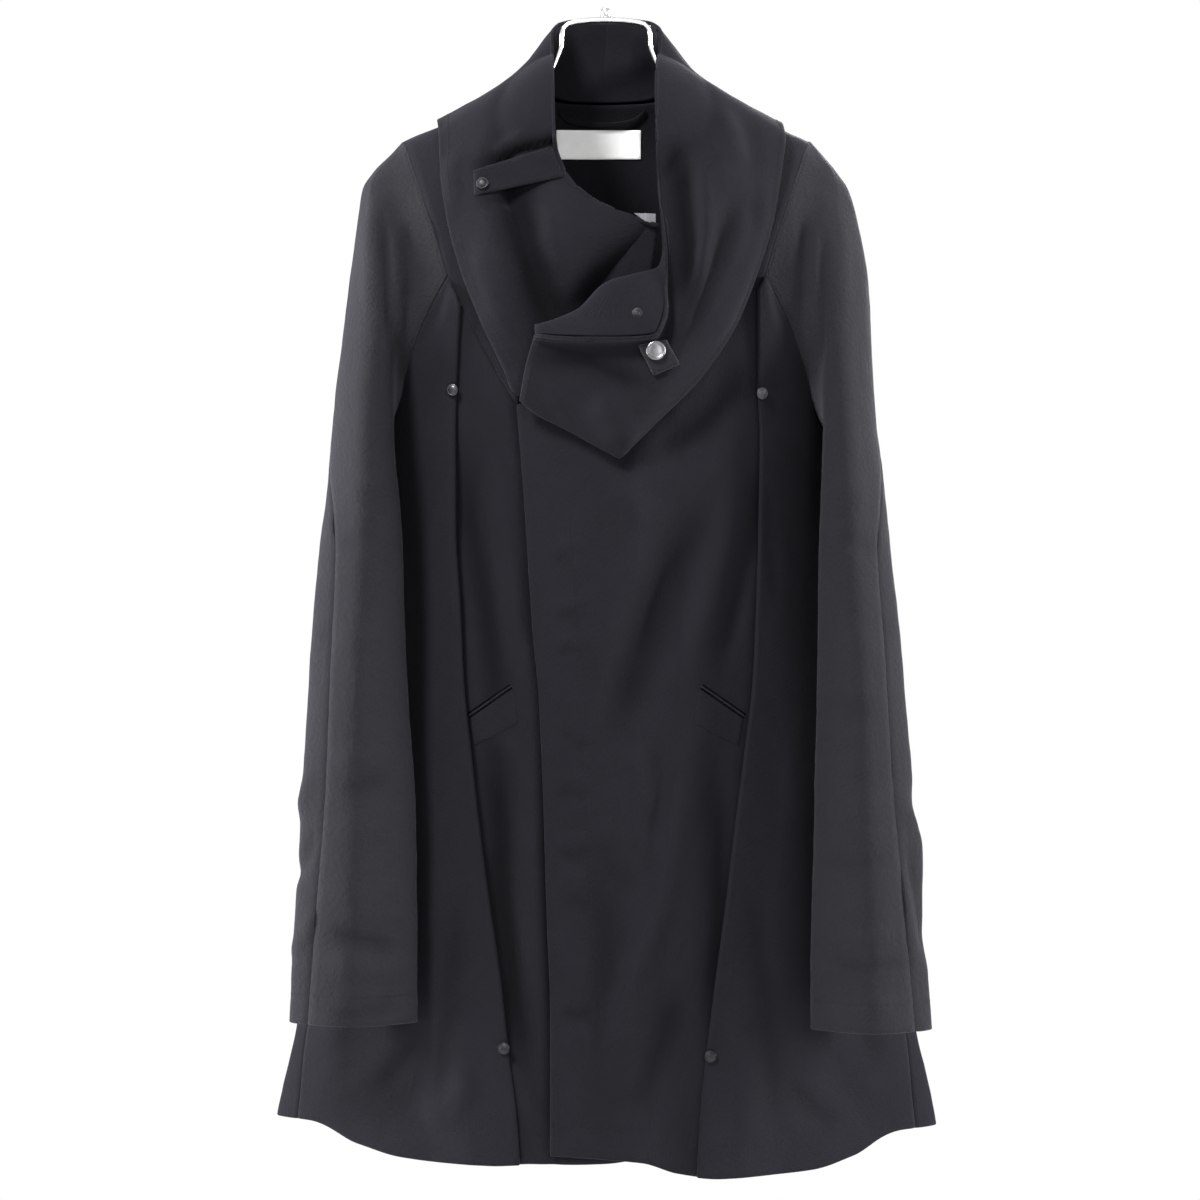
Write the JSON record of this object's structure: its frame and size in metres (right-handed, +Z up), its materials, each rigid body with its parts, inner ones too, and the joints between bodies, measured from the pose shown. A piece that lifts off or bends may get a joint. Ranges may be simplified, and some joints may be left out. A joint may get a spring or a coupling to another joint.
{
  "type": "pleated coat on a hanger",
  "caption": "Flared wool coat with a large folded-over collar, raglan sleeves and long front pleats, hanging open and empty on a flat metal hanger with a hook.",
  "frame": {"origin": "inside top of the hanger's hook, where it bears on a rail", "axes": "+Z up, +X towards the wearer's left, -Y towards the coat's front"},
  "size_m": [0.5801, 0.2462, 1.0778],
  "materials": {
    "cloth": "matte, soft wool twill",
    "tape": "matte tape",
    "label": "smooth woven",
    "snap_metal": "satin",
    "hanger_metal": "bright"
  },
  "bodies": {
    "root": {"front_left": "cloth", "front_right": "cloth", "yoke_left": "cloth", "yoke_right": "cloth", "back": "cloth", "sleeve_front_left": "cloth", "sleeve_back_left": "cloth", "sleeve_front_right": "cloth", "sleeve_back_right": "cloth", "collar_fall_left": "cloth", "collar_fall_right": "cloth", "collar_stand_left": "cloth", "collar_stand_right": "cloth", "collar_strap": "cloth", "collar_tab": "cloth", "pocket_welt_left": "cloth", "pocket_welt_right": "cloth", "hanger_loop": "tape", "neck_label": "label", "care_label": "label", "pleat_snap_upper_left": "snap_metal", "pleat_snap_upper_right": "snap_metal", "pleat_snap_lower_left": "snap_metal", "pleat_snap_lower_right": "snap_metal", "strap_snap": "snap_metal", "tab_snap": "snap_metal", "collar_stud": "snap_metal", "hanger": "hanger_metal", "hanger_hook": "hanger_metal"}
  },
  "joints": []
}
